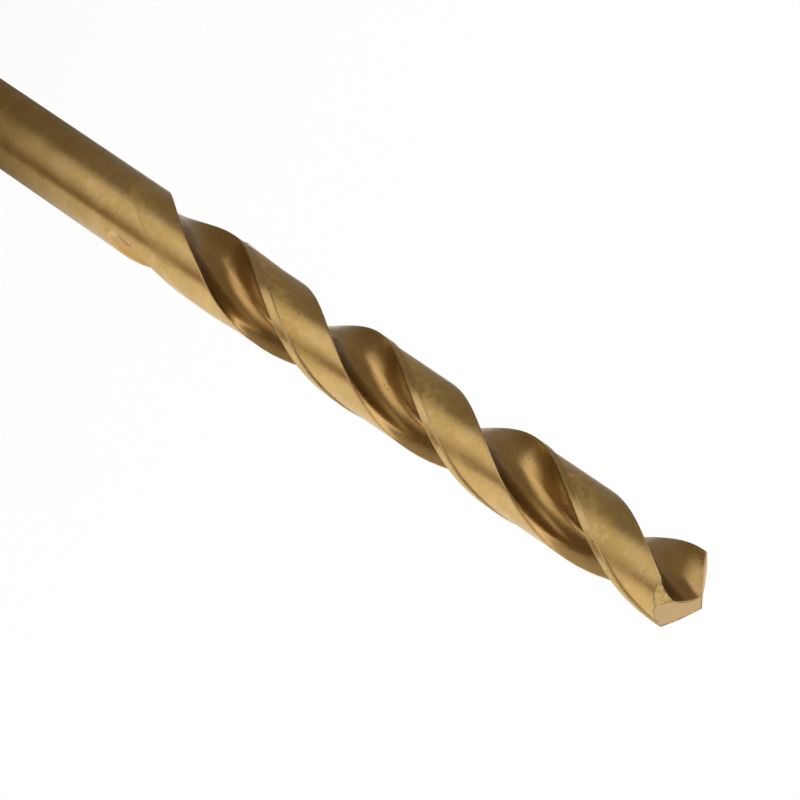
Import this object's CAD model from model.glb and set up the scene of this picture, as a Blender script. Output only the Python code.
# %% [markdown]
# A twist drill bit is one piece of hardened steel: a plain round shank, and a body with two
# helical flutes that end in a ground point. This lesson dresses the bit in its gold nitride
# coat and sets it up in a small studio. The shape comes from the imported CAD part. Every length
# is in metres, with the shank's flat end at z = 0 and the point at the top.

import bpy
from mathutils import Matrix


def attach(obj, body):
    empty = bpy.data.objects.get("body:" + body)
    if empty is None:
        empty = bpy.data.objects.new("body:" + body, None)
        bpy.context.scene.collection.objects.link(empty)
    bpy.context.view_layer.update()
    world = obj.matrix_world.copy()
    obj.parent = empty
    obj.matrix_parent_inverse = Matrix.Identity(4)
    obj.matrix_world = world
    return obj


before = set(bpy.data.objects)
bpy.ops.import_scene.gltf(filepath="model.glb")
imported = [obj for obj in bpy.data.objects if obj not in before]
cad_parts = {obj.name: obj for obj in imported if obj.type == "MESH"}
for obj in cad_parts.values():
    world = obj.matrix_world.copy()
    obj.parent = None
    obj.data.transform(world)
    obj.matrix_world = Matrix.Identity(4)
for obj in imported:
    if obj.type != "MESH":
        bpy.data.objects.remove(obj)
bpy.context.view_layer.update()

# %% Imports and lengths of the bit
import math

import bpy
from mathutils import Matrix, Vector

LAND_RADIUS = 0.00382  # the lands are ground a little lower than the margins
BODY_START = 0.0420  # the shank ends here
POINT_START = 0.1120  # all that is ground on the point lies above this
CORNER_Z = 0.114873  # the lips' outer corners
LEAD = 0.040  # the flutes go round once in this length
TWIST = 2 * math.pi / LEAD
scene = bpy.context.scene

# %% [markdown]
# The camera is a long lens close by, looking down on the bit from its flute side and rolled so
# that the bit lies across the frame from the top left to the lower right. It could be aimed
# with a constraint, but a roll is easier with a rotation matrix: three unit vectors for the
# camera's right, its up and its back.

# %% Camera
AIM = Vector((-0.000313, -0.0000265, 0.0798032))
DISTANCE = 0.283239
LENS, SENSOR = 132.765, 36
AZIMUTH, ELEVATION, ROLL = (math.radians(a) for a in (94.833, 28.526, -124.332))
back = Vector((
    math.cos(ELEVATION) * math.cos(AZIMUTH),
    math.cos(ELEVATION) * math.sin(AZIMUTH),
    math.sin(ELEVATION),
))
level_up = (Vector((0, 0, 1)) - back * back.z).normalized()
level_right = level_up.cross(back)
up = level_up * math.cos(ROLL) + level_right * math.sin(ROLL)
right = up.cross(back)
camera = bpy.data.objects.new("camera", bpy.data.cameras.new("camera"))
scene.collection.objects.link(camera)
turned = Matrix((right, up, back)).transposed().to_4x4()
camera.matrix_world = Matrix.Translation(AIM + back * DISTANCE) @ turned
camera.data.lens, camera.data.sensor_width = LENS, SENSOR
camera.data.clip_start, camera.data.clip_end = 0.01, 20
scene.camera = camera
print("camera at", tuple(round(v, 4) for v in camera.matrix_world.translation))

# %% [markdown]
# A finish is a tree of nodes, and trees get long. A few short helpers keep them readable. Each
# makes one node, joins its inputs and hands back the output. A plain number that is given to an
# input is set directly on it, so that the tree has no nodes that only hold a constant.


# %% Helpers for numbers
def join(tree, value, socket):
    if isinstance(value, bpy.types.NodeSocket):
        tree.links.new(value, socket)
    else:
        socket.default_value = value


def maths(tree, operation, *values):
    node = tree.nodes.new("ShaderNodeMath")
    node.operation = operation
    for value, socket in zip(values, node.inputs):
        join(tree, value, socket)
    return node.outputs[0]


def times(tree, first, *others):
    for other in others:
        first = maths(tree, "MULTIPLY", first, other)
    return first


def ramp(tree, value, low, high, to_low, to_high):
    node = tree.nodes.new("ShaderNodeMapRange")
    node.interpolation_type = "SMOOTHSTEP"
    for value, socket in zip((value, low, high, to_low, to_high), node.inputs):
        join(tree, value, socket)
    return node.outputs[0]


def fade_in(tree, value, low, high):
    return ramp(tree, value, low, high, 0.0, 1.0)


def fade_out(tree, value, low, high):
    return ramp(tree, value, low, high, 1.0, 0.0)


print("number helpers ready")


# %% Helpers for places, textures and colours
def split(tree, value):
    node = tree.nodes.new("ShaderNodeSeparateXYZ")
    join(tree, value, node.inputs[0])
    return node.outputs


def vector(tree, x, y, z):
    node = tree.nodes.new("ShaderNodeCombineXYZ")
    for value, socket in zip((x, y, z), node.inputs):
        join(tree, value, socket)
    return node.outputs[0]


def from_axis(tree, x, y):
    return maths(tree, "SQRT", maths(tree, "ADD", times(tree, x, x), times(tree, y, y)))


def noise(tree, where, scale, detail=3.0, roughness=0.55):
    node = tree.nodes.new("ShaderNodeTexNoise")
    join(tree, where, node.inputs["Vector"])
    for name, value in (("Scale", scale), ("Detail", detail), ("Roughness", roughness)):
        node.inputs[name].default_value = value
    return node.outputs["Fac"]


def mix(tree, share, first, second):
    node = tree.nodes.new("ShaderNodeMix")
    node.data_type = "RGBA"
    for value, socket in zip((share, first, second), (node.inputs[0], node.inputs[6], node.inputs[7])):
        join(tree, value, socket)
    return node.outputs[2]


def new_material(name):
    material = bpy.data.materials.new(name)
    material.use_nodes = True
    return material, material.node_tree


print("place, texture and colour helpers ready")

# %% [markdown]
# The studio is a white paper floor under a white sky. A stronger light could whiten the paper,
# but it would wash out the coat as well. So the paper glows a little, and only as the camera,
# a mirror or clear glass sees it. The background comes out white, and the paper still keeps
# the bit's soft shadow.

# %% Floor
FLOOR_SIZE = 4
PAPER_GLOW = 0.1
bpy.ops.mesh.primitive_plane_add(size=FLOOR_SIZE)
floor = bpy.context.object
floor.name = "floor"
paper, tree = new_material("white_paper")
paper_shader = tree.nodes["Principled BSDF"]
paper_shader.inputs["Base Color"].default_value = (0.9, 0.9, 0.9, 1)
paper_shader.inputs["Roughness"].default_value = 0.9
paper_shader.inputs["Specular IOR Level"].default_value = 0
path = tree.nodes.new("ShaderNodeLightPath").outputs
seen = maths(tree, "MAXIMUM", path["Is Camera Ray"], path["Is Glossy Ray"])
seen = maths(tree, "MAXIMUM", seen, path["Is Transmission Ray"])
paper_shader.inputs["Emission Color"].default_value = (1, 1, 1, 1)
join(tree, times(tree, seen, PAPER_GLOW), paper_shader.inputs["Emission Strength"])
floor.data.materials.append(paper)
print("paper floor", FLOOR_SIZE, "m wide")

# %% Sky
sky = bpy.data.worlds.new("studio")
scene.world = sky
sky.use_nodes = True
sky_light = sky.node_tree.nodes["Background"]
sky_light.inputs["Color"].default_value = (1, 1, 1, 1)
sky_light.inputs["Strength"].default_value = 1.0
scene.view_settings.view_transform = "Standard"
print("white sky")

# %% [markdown]
# Polished metal shows what stands round it, and between a white floor and a white sky it would
# look flat. A studio shapes it with dark cards, called flags, and a soft light. Each card here is
# a sheet that lies on the floor and turns up into a wall. The bands on the metal should have
# soft edges, so a card isn't cut to shape: its cover fades out towards each edge. All cards
# share that cover, so it is a node group, and each material gives it its own limits.

# %% The cover of a card
MEASURES = ("Turn", "Reach", "Height")
EDGES = ("In From", "In To", "Out From", "Out To")
cover_group = bpy.data.node_groups.new("card_cover", "ShaderNodeTree")
for socket_name in ["Middle"] + [f"{measure} {edge}" for measure in MEASURES for edge in EDGES]:
    cover_group.interface.new_socket(name=socket_name, in_out="INPUT", socket_type="NodeSocketFloat")
cover_group.interface.new_socket(name="Cover", in_out="OUTPUT", socket_type="NodeSocketFloat")
limits = cover_group.nodes.new("NodeGroupInput").outputs
x, y, height = split(cover_group, cover_group.nodes.new("ShaderNodeTexCoord").outputs["Object"])

# the turn is measured from the card's middle, so that it never jumps within the card
middle = limits["Middle"]
cosine, sine = maths(cover_group, "COSINE", middle), maths(cover_group, "SINE", middle)
across = maths(cover_group, "SUBTRACT", times(cover_group, y, cosine), times(cover_group, x, sine))
along = maths(cover_group, "ADD", times(cover_group, x, cosine), times(cover_group, y, sine))
turn = maths(cover_group, "ADD", maths(cover_group, "ARCTAN2", across, along), middle)
print("card cover has", len(cover_group.interface.items_tree), "named sockets")

# %% Fades of the cover
cover = 1.0
for measure, value in zip(MEASURES, (turn, from_axis(cover_group, x, y), height)):
    in_from, in_to, out_from, out_to = (limits[f"{measure} {edge}"] for edge in EDGES)
    starts = fade_in(cover_group, value, in_from, in_to)
    stops = fade_out(cover_group, value, out_from, out_to)
    cover = times(cover_group, starts, stops, cover)
join(cover_group, cover, cover_group.nodes.new("NodeGroupOutput").inputs["Cover"])
print("cover fades by", ", ".join(MEASURES))

# %% [markdown]
# A card's sheet has only two strips: one on the floor, one up the wall. Where two sheets share
# a plane, a ray can slip past one of them, so each next card lies a little higher and stands a
# little further out. Cards are seen in reflections only, so they never stand in front of the
# bit and never shade the floor.

# %% Sheet of a card
SHEET_STEPS = 48
SHEET_GAP = 0.0045  # a sheet starts just outside the shank
SHEET_TOP = 0.9
FIRST_LIFT, NEXT_LIFT = 0.0006, 0.0003
FIRST_WALL, NEXT_WALL = 0.5, 0.01


def card_sheet(name, start, end, number):
    lift = FIRST_LIFT + NEXT_LIFT * number
    wall = FIRST_WALL + NEXT_WALL * number
    points, faces = [], []
    for i in range(SHEET_STEPS + 1):
        at = start + (end - start) * i / SHEET_STEPS
        for reach, rise in ((SHEET_GAP, lift), (wall, lift), (wall, SHEET_TOP)):
            points.append((math.cos(at) * reach, math.sin(at) * reach, rise))
    for a in range(0, 3 * SHEET_STEPS, 3):
        faces.append((a, a + 1, a + 4, a + 3))
        faces.append((a + 1, a + 2, a + 5, a + 4))
    mesh = bpy.data.meshes.new(name)
    mesh.from_pydata(points, [], faces)
    return mesh


print("sheets turn up into a wall at", FIRST_WALL, "m")


# %% Finish of a card
def card_finish(name, tone, cover_limits):
    material, tree = new_material(name)
    tree.nodes.clear()
    cover = tree.nodes.new("ShaderNodeGroup")
    cover.node_tree = cover_group
    for socket_name, value in cover_limits.items():
        cover.inputs[socket_name].default_value = value
    clear = tree.nodes.new("ShaderNodeBsdfTransparent")
    card_light = tree.nodes.new("ShaderNodeEmission")
    card_light.inputs["Color"].default_value = (*tone, 1)
    blend = tree.nodes.new("ShaderNodeMixShader")
    output = tree.nodes.new("ShaderNodeOutputMaterial")
    blended = (cover.outputs["Cover"], clear.outputs[0], card_light.outputs[0])
    for value, socket in zip(blended, blend.inputs):
        join(tree, value, socket)
    join(tree, blend.outputs[0], output.inputs["Surface"])
    return material


print("a card is clear where its cover fades")

# %% Put up a card
EVERYWHERE = (-1, -0.5)  # a fade in that is over before the card begins
NEVER = (8, 9)  # a fade out that starts beyond the studio
cards = []


def put_up_card(name, tone, turns, inner=EVERYWHERE, outer=NEVER, foot=EVERYWHERE, top=NEVER):
    start, start_full, end_full, end = (math.radians(angle) for angle in turns)
    cover_limits = {"Middle": (start + end) / 2}
    fades = ((start, start_full, end_full, end), inner + outer, foot + top)
    for measure, values in zip(MEASURES, fades):
        for edge, value in zip(EDGES, values):
            cover_limits[f"{measure} {edge}"] = value
    card = bpy.data.objects.new(name, card_sheet(name, start, end, len(cards)))
    scene.collection.objects.link(card)
    card.visible_camera = card.visible_diffuse = card.visible_shadow = False
    card.visible_transmission = card.visible_volume_scatter = False
    card.data.materials.append(card_finish(name, tone, cover_limits))
    cards.append(card)


print("cards can be put up")

# %% [markdown]
# The side and cool flags make the dark bands along the shank and the lands, and the slit flag
# makes the narrow brown line beside them. The front and hood flags darken the flutes, and the
# foot flag darkens what faces steeply down. The top light gives each flute its bright heel. The
# four turns are the angles where a card starts, is first full, is last full and ends.

# %% Cards round the bit
UMBER = (0.12, 0.09, 0.055)
put_up_card("side_flag", (0.23, 0.205, 0.17), (-88, -10, 51, 84), top=(0.08, 0.14))
put_up_card("cool_flag", (0.24, 0.23, 0.26), (-80, -35, -32, 8), top=(0.08, 0.14))
put_up_card("top_light", (1.6, 1.6, 1.6), (-50, -10, 45, 75), foot=(0.12, 0.20), top=(0.45, 0.8))
put_up_card("slit_flag", (0.22, 0.12, 0.06), (102, 149, 150, 155), outer=(0.30, 0.45), top=(0.0, 0.05))
put_up_card("front_flag", UMBER, (40, 70, 150, 175), inner=(0.22, 0.75), top=(0.05, 0.3))
put_up_card("hood_flag", UMBER, (40, 70, 150, 175), foot=(0.0, 0.13), top=(0.30, 0.45))
put_up_card("foot_flag", (0.16, 0.135, 0.095), (-180, -179.9, 179.9, 180), outer=(0.025, 0.07))
print(len(cards), "cards round the bit")

# %% [markdown]
# The coat follows how each surface was ground, so its material first works out where a spot
# is on the bit. An unwrapped texture could hold that, but the twist gives it exactly. Turning the
# cross-section back by the twist makes every section look the same, and then one angle says
# what a spot belongs to: a margin, a land, or one side of a flute. The bit has two equal halves,
# so the angle repeats after half a turn.

# %% Where a spot is
gold, tree = new_material("gold_nitride")
gold_shader = tree.nodes["Principled BSDF"]
spot = tree.nodes.new("ShaderNodeTexCoord").outputs["Object"]
x, y, z = split(tree, spot)
radial = from_axis(tree, x, y)
unwind = times(tree, maths(tree, "SUBTRACT", CORNER_Z, z), TWIST)
cosine, sine = maths(tree, "COSINE", unwind), maths(tree, "SINE", unwind)
u = maths(tree, "SUBTRACT", times(tree, x, cosine), times(tree, y, sine))
v = maths(tree, "ADD", times(tree, x, sine), times(tree, y, cosine))
section = maths(tree, "FLOORED_MODULO", maths(tree, "ARCTAN2", v, u), math.pi)
print("a spot is known by its radius, its height and its place in the section")


# %% Zones of the body
def section_fade(low, high):
    return fade_in(tree, section, math.radians(low), math.radians(high))


true_normal = tree.nodes.new("ShaderNodeNewGeometry").outputs["True Normal"]
upward = split(tree, true_normal)[2]
above_body = fade_in(tree, z, POINT_START, POINT_START + 0.0002)
ground_point = times(tree, fade_in(tree, upward, 0.60, 0.66), above_body)
off_point = fade_out(tree, ground_point, 0, 1)
body = fade_in(tree, z, BODY_START, BODY_START + 0.0004)
below_land = fade_out(tree, radial, LAND_RADIUS - 0.00012, LAND_RADIUS - 0.00003)
in_flute = times(tree, below_land, off_point, body)
on_land = times(tree, fade_in(tree, radial, LAND_RADIUS - 0.00008, LAND_RADIUS - 0.00002), body)
print("zones: body, flutes, lands")

# %% Zones within the flutes and the point
flute_floor = times(tree, section_fade(52, 78), in_flute)
full_flute = fade_in(tree, z, 0.0585, 0.0615)  # clear of the run-out
near_heel = times(tree, section_fade(88, 104), in_flute, fade_in(tree, radial, 0.0025, 0.0034), full_flute)
near_lip = times(tree, fade_in(tree, z, 0.1136, 0.1150), in_flute)
first_flank = times(tree, fade_in(tree, upward, 0.72, 0.78), ground_point)
second_flank = maths(tree, "SUBTRACT", ground_point, first_flank)
print("zones: flute floor, heel, lip, first and second flank")

# %% [markdown]
# Grinding leaves fine lines, long in one direction and narrow in the other. They could be cut
# into the mesh, but they are only microns deep, so a noise texture with stretched
# coordinates makes them. Round surfaces carry lines that run round them, the flutes carry lines
# along the helix, and the point carries straight lines. The zones choose which ones are used.


# %% Grinding lines
def stretched_noise(along_x, along_y, along_z):
    return noise(tree, vector(tree, along_x, along_y, along_z), 1.0, 4, 0.7)


ring_lines = stretched_noise(times(tree, x, 260), times(tree, y, 260), times(tree, z, 4200))
flute_lines = stretched_noise(times(tree, u, 3800), times(tree, v, 3800), times(tree, z, 330))
point_lines = stretched_noise(times(tree, x, 700), times(tree, y, 6500), times(tree, z, 6500))
lines = mix(tree, in_flute, ring_lines, flute_lines)
lines = mix(tree, ground_point, lines, point_lines)
print("three kinds of grinding line")

# %% [markdown]
# The coat is a thin hard layer of nitride, and it isn't even. It is more olive in some places
# and warmer in others, yellower on the land behind the margin and redder down in the flutes. A
# single gold would look like paint, so large and small noise mix a few close golds, and each
# zone then pulls the colour a little its own way.

# %% Even part of the coat
OLIVE_GOLD = (0.63, 0.415, 0.15, 1)
WARM_GOLD = (0.70, 0.475, 0.195, 1)
YELLOW_PATCH = (0.68, 0.47, 0.13, 1)
LINE_BROWN = (0.44, 0.285, 0.105, 1)


def tinted(colour, mask, share, tone):
    return mix(tree, times(tree, mask, share), colour, tone)


cloud = noise(tree, spot, 330, 4, 0.6)
blotch = noise(tree, spot, 1500, 5, 0.7)
patch = times(tree, fade_in(tree, blotch, 0.54, 0.70), fade_in(tree, cloud, 0.42, 0.62))
colour = mix(tree, fade_in(tree, cloud, 0.38, 0.62), OLIVE_GOLD, WARM_GOLD)
colour = tinted(colour, patch, 0.55, YELLOW_PATCH)
colour = tinted(colour, fade_in(tree, lines, 0.40, 0.66), 0.27, LINE_BROWN)
print("cloudy gold with grinding lines")

# %% Coat on the lands and in the flutes
MARGIN_YELLOW = (0.78, 0.52, 0.165, 1)
FLUTE_GOLD = (0.62, 0.37, 0.135, 1)
FLOOR_BROWN = (0.46, 0.26, 0.07, 1)
behind_margin = times(tree, section_fade(125, 172), on_land, fade_in(tree, blotch, 0.34, 0.60))
colour = tinted(colour, behind_margin, 0.5, MARGIN_YELLOW)
colour = tinted(colour, in_flute, 0.65, FLUTE_GOLD)
colour = tinted(colour, flute_floor, 0.4, FLOOR_BROWN)
print("land and flute colours")

# %% Coat on the point
FIRST_FLANK = (0.56, 0.385, 0.20, 1)
MOTTLE_DARK, MOTTLE_PALE = (0.46, 0.30, 0.10, 1), (0.66, 0.48, 0.21, 1)
LIP_BROWN = (0.36, 0.24, 0.10, 1)
mottle = fade_in(tree, noise(tree, spot, 2600, 4, 0.7), 0.42, 0.60)
colour = tinted(colour, first_flank, 0.8, FIRST_FLANK)
colour = tinted(colour, second_flank, 0.9, mix(tree, mottle, MOTTLE_DARK, MOTTLE_PALE))
colour = tinted(colour, near_lip, 0.4, LIP_BROWN)
print("flanks and lip coloured")

# %% [markdown]
# Sharp edges lose some of the coat. Painting each edge by hand would be slow, and the bevel
# node finds them all: it gives the normal of a rounded edge, and where that differs from the
# flat normal there is an edge. The small step behind each margin catches the light too, and its
# place in the section is known.

# %% Worn edges
EDGE_WIDTH = 0.00022
WORN_GOLD = (0.82, 0.67, 0.42, 1)
bevel = tree.nodes.new("ShaderNodeBevel")
bevel.samples = 4
bevel.inputs["Radius"].default_value = EDGE_WIDTH
dot = tree.nodes.new("ShaderNodeVectorMath")
dot.operation = "DOT_PRODUCT"
join(tree, bevel.outputs[0], dot.inputs[0])
join(tree, true_normal, dot.inputs[1])
likeness = dot.outputs["Value"]
worn = times(tree, fade_out(tree, likeness, 0.80, 0.985), fade_in(tree, blotch, 0.30, 0.62))
colour = tinted(colour, worn, 0.4, WORN_GOLD)
print("edges within", EDGE_WIDTH * 1000, "mm are worn")

# %% The step behind the margin, and the heel
STEP_ANGLE = 2.4  # the step's place in the section, in degrees
STEP_GOLD = (0.85, 0.66, 0.38, 1)
HEEL_GOLD = (0.74, 0.48, 0.20, 1)
# a quarter turn is added before the modulo, so that the step isn't where the angle starts again
quarter_on = maths(tree, "FLOORED_MODULO", maths(tree, "ADD", section, math.radians(90)), math.pi)
from_step = maths(tree, "ABSOLUTE", maths(tree, "SUBTRACT", quarter_on, math.radians(90 + STEP_ANGLE)))
near_step = fade_out(tree, from_step, math.radians(1.5), math.radians(3.0))
on_step = times(tree, near_step, fade_in(tree, radial, LAND_RADIUS - 0.00004, LAND_RADIUS + 0.00002))
colour = tinted(colour, on_step, 0.08, STEP_GOLD)
colour = tinted(colour, near_heel, 0.9, HEEL_GOLD)
print("step at", STEP_ANGLE, "degrees of the section")

# %% [markdown]
# The coat has dark specks where it didn't take, in loose groups, and grinding has left a
# burnt line along the edges between the ground flanks. Cells of a Voronoi texture make the
# specks, a large noise keeps only some of them, and the bevel node finds the burnt line.

# %% Specks and the burnt line
SPECK_BROWN = (0.10, 0.06, 0.025, 1)
BURNT_BROWN = (0.10, 0.06, 0.03, 1)
cells = tree.nodes.new("ShaderNodeTexVoronoi")
cells.inputs["Scale"].default_value = 1500
join(tree, spot, cells.inputs["Vector"])
some_cells = fade_in(tree, noise(tree, spot, 420, 2), 0.60, 0.68)
speck = times(tree, fade_out(tree, cells.outputs["Distance"], 0.07, 0.18), some_cells)
colour = tinted(colour, speck, 0.75, SPECK_BROWN)
ridge = times(tree, fade_out(tree, likeness, 0.9975, 0.99985), ground_point)
burnt = times(tree, ridge, fade_in(tree, blotch, 0.40, 0.52))
colour = tinted(colour, burnt, 0.9, BURNT_BROWN)
print("specks and burnt line")

# %% [markdown]
# Gloss comes from roughness: the flutes are the glossiest, the ground point and the cloudy
# land behind the margin are duller. The finest marks are a bump of a few microns. Lines are
# calmer on the lands, the second flank is uneven where it is mottled, and specks and the burnt
# line lie a little lower.

# %% Roughness
PLAIN_ROUGHNESS = 0.185
DULLER = (
    (blotch, 0.07), (lines, 0.05), (on_land, 0.04), (behind_margin, 0.20),
    (ground_point, 0.22), (speck, 0.3), (near_heel, 0.08),
)
rough = PLAIN_ROUGHNESS
for mask, amount in DULLER:
    rough = maths(tree, "ADD", rough, times(tree, mask, amount))
join(tree, rough, gold_shader.inputs["Roughness"])
print("roughness from", PLAIN_ROUGHNESS, "up, in", len(DULLER), "steps")

# %% Fine marks
MARK_DEPTH = 0.000003
calm = ramp(tree, on_land, 0, 1, 1.0, 0.45)
marks = maths(tree, "ADD", times(tree, lines, calm), times(tree, blotch, 0.8))
marks = maths(tree, "SUBTRACT", marks, times(tree, speck, 3.0))
marks = maths(tree, "ADD", marks, times(tree, mottle, times(tree, second_flank, 2.0)))
marks = maths(tree, "SUBTRACT", marks, times(tree, burnt, 4.0))
bump = tree.nodes.new("ShaderNodeBump")
bump.inputs["Strength"].default_value = 1.0
bump.inputs["Distance"].default_value = MARK_DEPTH
join(tree, marks, bump.inputs["Height"])
print("marks", MARK_DEPTH * 1e6, "microns deep")

# %% [markdown]
# A grinding wheel leaves the flute's floor a little more hollow, and its outer heel a little
# more rounded, than the solid has them. The light in a flute shows that at once, because a small
# turn of a mirror moves what it shows twice as far. So the normals are turned about the bit's axis
# on the floor and at the heel, and the bump builds on the turned normals.

# %% Turned normals
FLOOR_TURN, HEEL_TURN = math.radians(-18), math.radians(28)
heelward = times(tree, section_fade(32, 72), in_flute, fade_out(tree, radial, 0.0022, 0.0032))
turned_by = maths(tree, "ADD", times(tree, heelward, FLOOR_TURN), times(tree, near_heel, HEEL_TURN))
hollow = tree.nodes.new("ShaderNodeVectorRotate")
hollow.rotation_type = "Z_AXIS"
join(tree, bevel.outputs[0], hollow.inputs["Vector"])
join(tree, turned_by, hollow.inputs["Angle"])
join(tree, hollow.outputs[0], bump.inputs["Normal"])
join(tree, bump.outputs[0], gold_shader.inputs["Normal"])
print("normals turned on the floor and at the heel of each flute")

# %% [markdown]
# In a flute, gold mirrors gold, and every bounce multiplies the colour with itself until it is
# orange. The flutes of the real bit stay brown. A paler gold everywhere would keep them brown
# but would bleach the lands, so only rays that come from another bounce see a duller gold.

# %% Finish the coat
BOUNCED_GOLD = (0.48, 0.37, 0.20, 1)
bounced = tree.nodes.new("ShaderNodeLightPath").outputs["Is Glossy Ray"]
join(tree, mix(tree, bounced, colour, BOUNCED_GOLD), gold_shader.inputs["Base Color"])
gold_shader.inputs["Metallic"].default_value = 1
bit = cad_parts["drill_bit"]
bit.data.materials.clear()
bit.data.materials.append(gold)
print("coat has", len(tree.nodes), "nodes, bit has", len(bit.data.polygons), "faces")

# %% [markdown]
# A cutter that leaves a helical flute pushes a little metal over the edge. Most of that burr
# is brushed off, but near the start of the clearance one sliver is left, rooted in the margin
# and bent over the land behind it. A curve with a bevel could draw it, but a short loop of
# four-cornered rings lets it get thinner and narrower towards its tip.

# %% Shape of the burr
RINGS = 12
BURR_ROOT, BURR_TIP = (190, 0.0556), (173, 0.05725)  # degrees of the section, height
BURR_BASE, BURR_RISE = 0.00399, 0.00012
HALF_THICK, HALF_WIDE = 0.00004, 0.00010


def on_round(section_angle, height, radius):
    turn = math.radians(section_angle) - (CORNER_Z - height) * TWIST
    return Vector((radius * math.cos(turn), radius * math.sin(turn), height))


burr_points = []
for i in range(RINGS + 1):
    share = i / RINGS
    angle, height = (root + (tip - root) * share for root, tip in zip(BURR_ROOT, BURR_TIP))
    radius = BURR_BASE + BURR_RISE * math.sin(math.pi * min(1, share * 1.1)) ** 0.8
    thick, wide = HALF_THICK * (1.1 - share), HALF_WIDE * (1.15 - share)
    for side, level in ((-1, -1), (1, -1), (1, 1), (-1, 1)):
        burr_points.append(on_round(angle, height + side * wide, radius + level * thick))
print("burr", round(BURR_RISE * 1000, 2), "mm high,", len(burr_points), "points")

# %% Mesh of the burr
burr_faces = [(3, 2, 1, 0), tuple(range(4 * RINGS, 4 * RINGS + 4))]
for a in range(0, 4 * RINGS, 4):
    for k in range(4):
        after = (k + 1) % 4
        burr_faces.append((a + k, a + after, a + 4 + after, a + 4 + k))
burr_mesh = bpy.data.meshes.new("edge_burr")
burr_mesh.from_pydata(burr_points, [], burr_faces)
burr_piece = bpy.data.objects.new("edge_burr", burr_mesh)
scene.collection.objects.link(burr_piece)
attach(burr_piece, "root")
print("burr has", len(burr_faces), "faces")

# %% [markdown]
# The coat has flaked off most of the sliver, so it looks like pale steel beside the gold. One
# flat grey would look like plastic, so a very fine noise mixes a dark and a pale tone, and the
# same noise makes the dark spots smoother than the pale ones.

# %% Finish of the burr
STEEL_DARK, STEEL_PALE = (0.42, 0.36, 0.28, 1), (0.78, 0.74, 0.66, 1)
bare, tree = new_material("bare_burr")
bare_shader = tree.nodes["Principled BSDF"]
tear = noise(tree, tree.nodes.new("ShaderNodeTexCoord").outputs["Object"], 9000)
join(tree, mix(tree, tear, STEEL_DARK, STEEL_PALE), bare_shader.inputs["Base Color"])
join(tree, ramp(tree, tear, 0.3, 0.7, 0.35, 0.6), bare_shader.inputs["Roughness"])
bare_shader.inputs["Metallic"].default_value = 0.8
burr_mesh.materials.append(bare)
print("bare steel on the burr")
